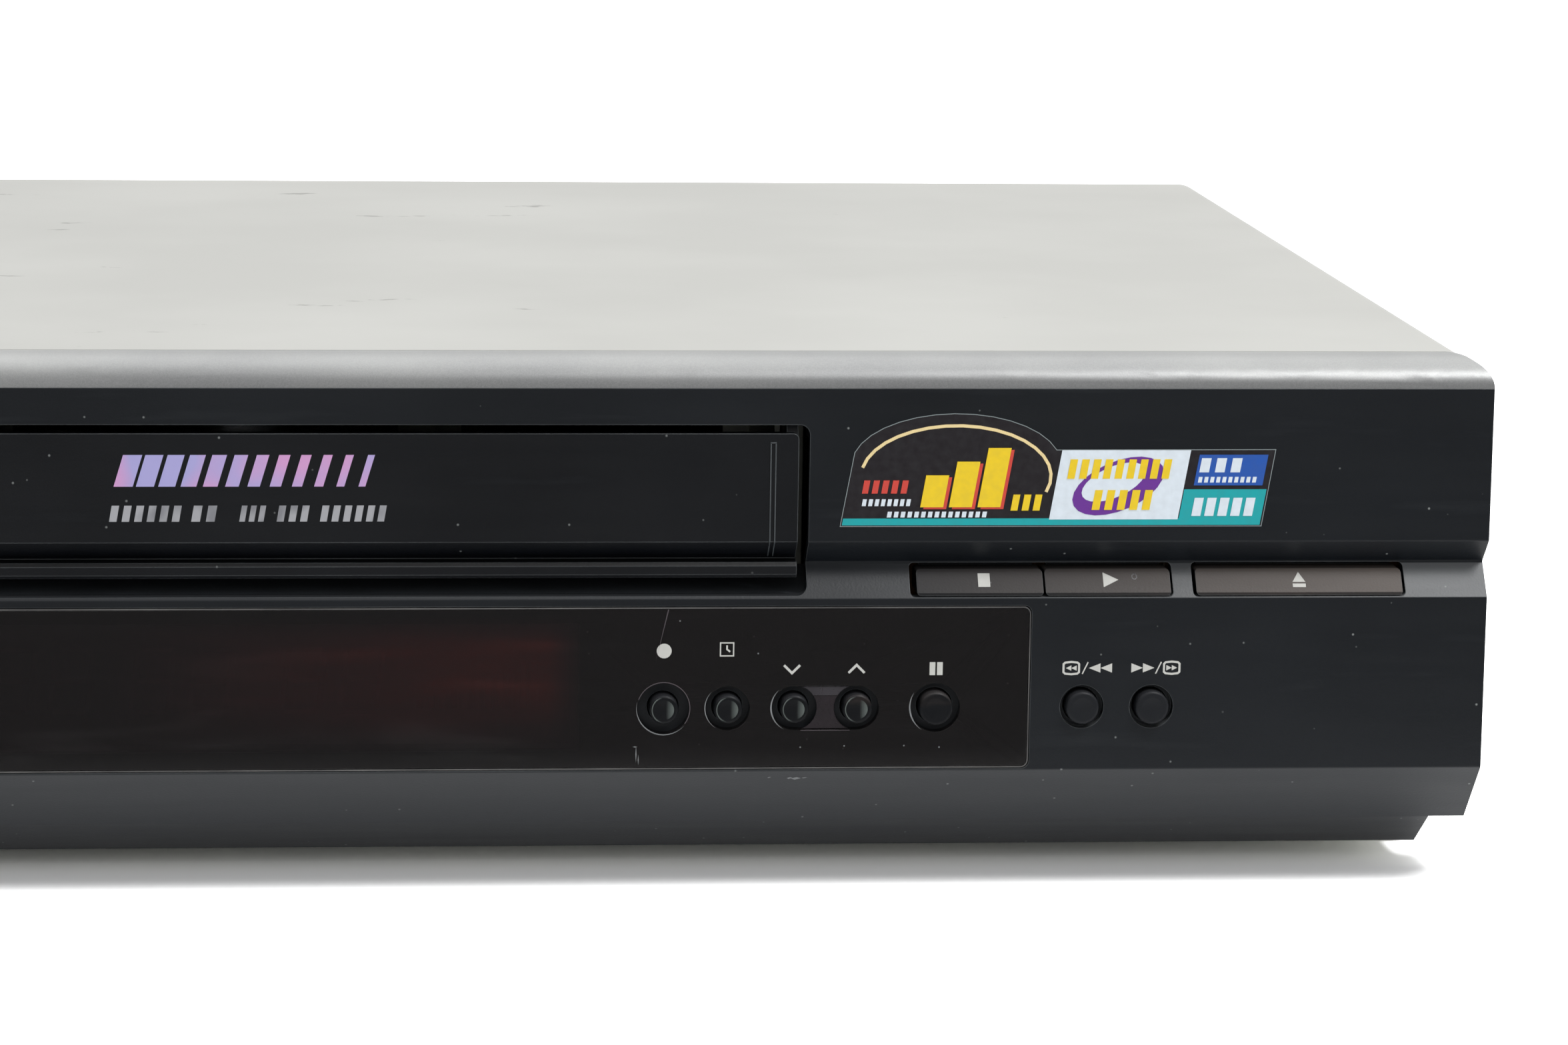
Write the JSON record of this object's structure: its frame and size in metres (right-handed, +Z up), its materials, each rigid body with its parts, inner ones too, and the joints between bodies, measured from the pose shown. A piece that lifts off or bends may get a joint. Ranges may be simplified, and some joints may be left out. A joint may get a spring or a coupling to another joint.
{
  "type": "video cassette recorder",
  "caption": "Full-width VHS recorder: black front with sprung cassette flap, smoked window, push keys, light-grey steel cover, tape deck and loading carriage inside.",
  "frame": {"origin": "middle of the footprint, on the surface that the feet stand on", "axes": "+Z up, front face towards -Y, +X to the right of a person facing the front"},
  "size_m": [0.43, 0.2844, 0.0954],
  "materials": {
    "black_moulding": "fine spark-eroded satin black ABS",
    "silver_paint": "silver-grey painted ABS, satin",
    "smoked_window": "smoked brown-black acrylic, polished",
    "key_plastic": "black ABS keys, satin",
    "cover_paint": "warm light-grey painted steel, fine texture",
    "plated_steel": "zinc-plated sheet steel",
    "screw_steel": "black zinc screws",
    "circuit_board": "brown phenolic laminate",
    "switch_plastic": "black nylon",
    "display_glass": "vacuum fluorescent tube glass",
    "socket_plastic": "black moulded socket bodies",
    "socket_metal": "nickel-plated contact rings",
    "winding": "taped ferrite transformer",
    "capacitor_sleeve": "shrink sleeve over aluminium cans",
    "aluminium": "bare aluminium",
    "chip_resin": "black epoxy",
    "cable_film": "white polyester flat cable",
    "drum_metal": "turned aluminium drum",
    "white_nylon": "white acetal gears and reels",
    "black_nylon": "black acetal levers",
    "belt_rubber": "black neoprene",
    "foot_rubber": "black moulded feet",
    "spring_steel": "spring steel wire"
  },
  "bodies": {
    "case": {"front_panel": "black_moulding", "top_trim": "silver_paint", "flap_spring": "spring_steel", "display_window": "smoked_window", "front_board": "circuit_board", "tact_switches": "switch_plastic", "display_tube": "display_glass", "front_av_sockets": "socket_metal", "top_cover": "cover_paint", "cover_screws": "screw_steel", "chassis": "plated_steel", "feet": "foot_rubber", "rear_panel": "plated_steel", "main_board": "circuit_board", "transformer": "winding", "mains_inlet": "socket_plastic", "scart_sockets": "socket_plastic", "audio_sockets": "socket_metal", "tuner_module": "plated_steel", "capacitors": "capacitor_sleeve", "heat_sink": "aluminium", "integrated_circuits": "chip_resin", "ribbon_cable": "cable_film", "deck_plate": "plated_steel", "deck_pins": "plated_steel", "left_side_frame": "plated_steel", "right_side_frame": "plated_steel", "drum_base": "drum_metal", "capstan_motor": "plated_steel", "drive_belt": "belt_rubber", "erase_head": "plated_steel", "audio_head": "plated_steel", "loading_motor": "plated_steel"},
    "flap": {"cassette_flap": "black_moulding"},
    "slider": {"carriage_slider": "black_nylon"},
    "holder": {"cassette_holder": "plated_steel"},
    "upper_drum": {"upper_drum": "drum_metal"},
    "flywheel": {"capstan_flywheel": "plated_steel"},
    "centre_pulley": {"centre_pulley": "white_nylon"},
    "pinch_arm": {"pinch_arm": "plated_steel"},
    "pinch_roller": {"pinch_roller": "belt_rubber"},
    "supply_reel": {"supply_reel": "white_nylon"},
    "takeup_reel": {"takeup_reel": "white_nylon"},
    "idler_arm": {"idler_arm": "black_nylon"},
    "idler_wheel": {"idler_wheel": "white_nylon"},
    "supply_guide": {"supply_guide": "aluminium"},
    "takeup_guide": {"takeup_guide": "aluminium"},
    "tension_arm": {"tension_arm": "plated_steel"},
    "mode_cam": {"mode_cam": "white_nylon"},
    "record_button": {"record_button": "key_plastic"},
    "timer_button": {"timer_button": "key_plastic"},
    "channel_down_button": {"channel_down_button": "key_plastic"},
    "channel_up_button": {"channel_up_button": "key_plastic"},
    "pause_button": {"pause_button": "key_plastic"},
    "rewind_button": {"rewind_button": "key_plastic"},
    "fast_forward_button": {"fast_forward_button": "key_plastic"},
    "stop_button": {"stop_button": "key_plastic"},
    "play_button": {"play_button": "key_plastic"},
    "eject_button": {"eject_button": "key_plastic"},
    "power_button": {"power_button": "key_plastic"}
  },
  "joints": [
    {"name": "flap_hinge", "type": "hinge", "parent": "case", "child": "flap", "pos_m": [-0.0023, -0.1364, 0.084], "axis": [-1, 0, 0], "range_deg": [-88, 0], "stiffness_Nm_per_rad": 0.004, "springref_deg": 20.05},
    {"name": "record_press", "type": "slide", "parent": "case", "child": "record_button", "axis": [0, 1, 0], "range_m": [0, 0.001], "stiffness_N_per_m": 900, "springref_m": -0.0005},
    {"name": "timer_press", "type": "slide", "parent": "case", "child": "timer_button", "axis": [0, 1, 0], "range_m": [0, 0.001], "stiffness_N_per_m": 900, "springref_m": -0.0005},
    {"name": "channel_down_press", "type": "slide", "parent": "case", "child": "channel_down_button", "axis": [0, 1, 0], "range_m": [0, 0.001], "stiffness_N_per_m": 900, "springref_m": -0.0005},
    {"name": "channel_up_press", "type": "slide", "parent": "case", "child": "channel_up_button", "axis": [0, 1, 0], "range_m": [0, 0.001], "stiffness_N_per_m": 900, "springref_m": -0.0005},
    {"name": "pause_press", "type": "slide", "parent": "case", "child": "pause_button", "axis": [0, 1, 0], "range_m": [0, 0.001], "stiffness_N_per_m": 900, "springref_m": -0.0005},
    {"name": "rewind_press", "type": "slide", "parent": "case", "child": "rewind_button", "axis": [0, 1, 0], "range_m": [0, 0.001], "stiffness_N_per_m": 900, "springref_m": -0.0005},
    {"name": "fast_forward_press", "type": "slide", "parent": "case", "child": "fast_forward_button", "axis": [0, 1, 0], "range_m": [0, 0.001], "stiffness_N_per_m": 900, "springref_m": -0.0005},
    {"name": "stop_press", "type": "slide", "parent": "case", "child": "stop_button", "axis": [0, 1, 0], "range_m": [0, 0.001], "stiffness_N_per_m": 900, "springref_m": -0.0005},
    {"name": "play_press", "type": "slide", "parent": "case", "child": "play_button", "axis": [0, 1, 0], "range_m": [0, 0.001], "stiffness_N_per_m": 900, "springref_m": -0.0005},
    {"name": "eject_press", "type": "slide", "parent": "case", "child": "eject_button", "axis": [0, 1, 0], "range_m": [0, 0.001], "stiffness_N_per_m": 900, "springref_m": -0.0005},
    {"name": "power_press", "type": "slide", "parent": "case", "child": "power_button", "axis": [0, 1, 0], "range_m": [0, 0.001], "stiffness_N_per_m": 900, "springref_m": -0.0005},
    {"name": "carriage_slide", "type": "slide", "parent": "case", "child": "slider", "axis": [0, 1, 0], "range_m": [0, 0.066]},
    {"name": "holder_drop", "type": "slide", "parent": "slider", "child": "holder", "axis": [0, 0, -1], "range_m": [0, 0.02]},
    {"name": "drum_spin", "type": "hinge", "parent": "case", "child": "upper_drum", "pos_m": [-0.0023, 0.0492, 0.029], "axis": [0, -0.104, 0.9946], "continuous": true},
    {"name": "capstan_spin", "type": "hinge", "parent": "case", "child": "flywheel", "pos_m": [0.0697, 0.0272, 0.019], "axis": [0, 0, 1], "continuous": true},
    {"name": "pulley_spin", "type": "hinge", "parent": "case", "child": "centre_pulley", "pos_m": [-0.0023, -0.0308, 0.019], "axis": [0, 0, 1], "continuous": true},
    {"name": "pinch_swing", "type": "hinge", "parent": "case", "child": "pinch_arm", "pos_m": [0.0897, 0.0412, 0.034], "axis": [0, 0, 1], "range_deg": [-24, 0]},
    {"name": "pinch_roller_spin", "type": "hinge", "parent": "pinch_arm", "child": "pinch_roller", "pos_m": [0.08659, 0.02155, 0.042], "axis": [0, 0, 1], "continuous": true},
    {"name": "supply_reel_spin", "type": "hinge", "parent": "case", "child": "supply_reel", "pos_m": [-0.048, -0.0528, 0.032], "axis": [0, 0, 1], "continuous": true},
    {"name": "takeup_reel_spin", "type": "hinge", "parent": "case", "child": "takeup_reel", "pos_m": [0.0434, -0.0528, 0.032], "axis": [0, 0, 1], "continuous": true},
    {"name": "idler_swing", "type": "hinge", "parent": "case", "child": "idler_arm", "pos_m": [-0.0023, -0.0308, 0.028], "axis": [0, 0, 1], "range_deg": [-11, 11]},
    {"name": "idler_spin", "type": "hinge", "parent": "idler_arm", "child": "idler_wheel", "pos_m": [-0.0023, -0.0528, 0.026], "axis": [0, 0, 1], "continuous": true},
    {"name": "supply_guide_slide", "type": "slide", "parent": "case", "child": "supply_guide", "axis": [-0.4668, 0.8844, 0], "range_m": [0, 0.04]},
    {"name": "takeup_guide_slide", "type": "slide", "parent": "case", "child": "takeup_guide", "axis": [0.4668, 0.8844, 0], "range_m": [0, 0.04]},
    {"name": "tension_swing", "type": "hinge", "parent": "case", "child": "tension_arm", "pos_m": [-0.0923, 0.0212, 0.028], "axis": [0, 0, 1], "range_deg": [-8, 8]},
    {"name": "cam_turn", "type": "hinge", "parent": "case", "child": "mode_cam", "pos_m": [-0.0743, 0.0672, 0.026], "axis": [0, 0, 1], "range_deg": [0, 200]}
  ],
  "couplings": [
    {"joint": "supply_guide_slide", "follows": "cam_turn", "m_per_rad": 0.011459},
    {"joint": "takeup_guide_slide", "follows": "cam_turn", "m_per_rad": 0.011459},
    {"joint": "pulley_spin", "follows": "capstan_spin", "ratio": 1}
  ]
}
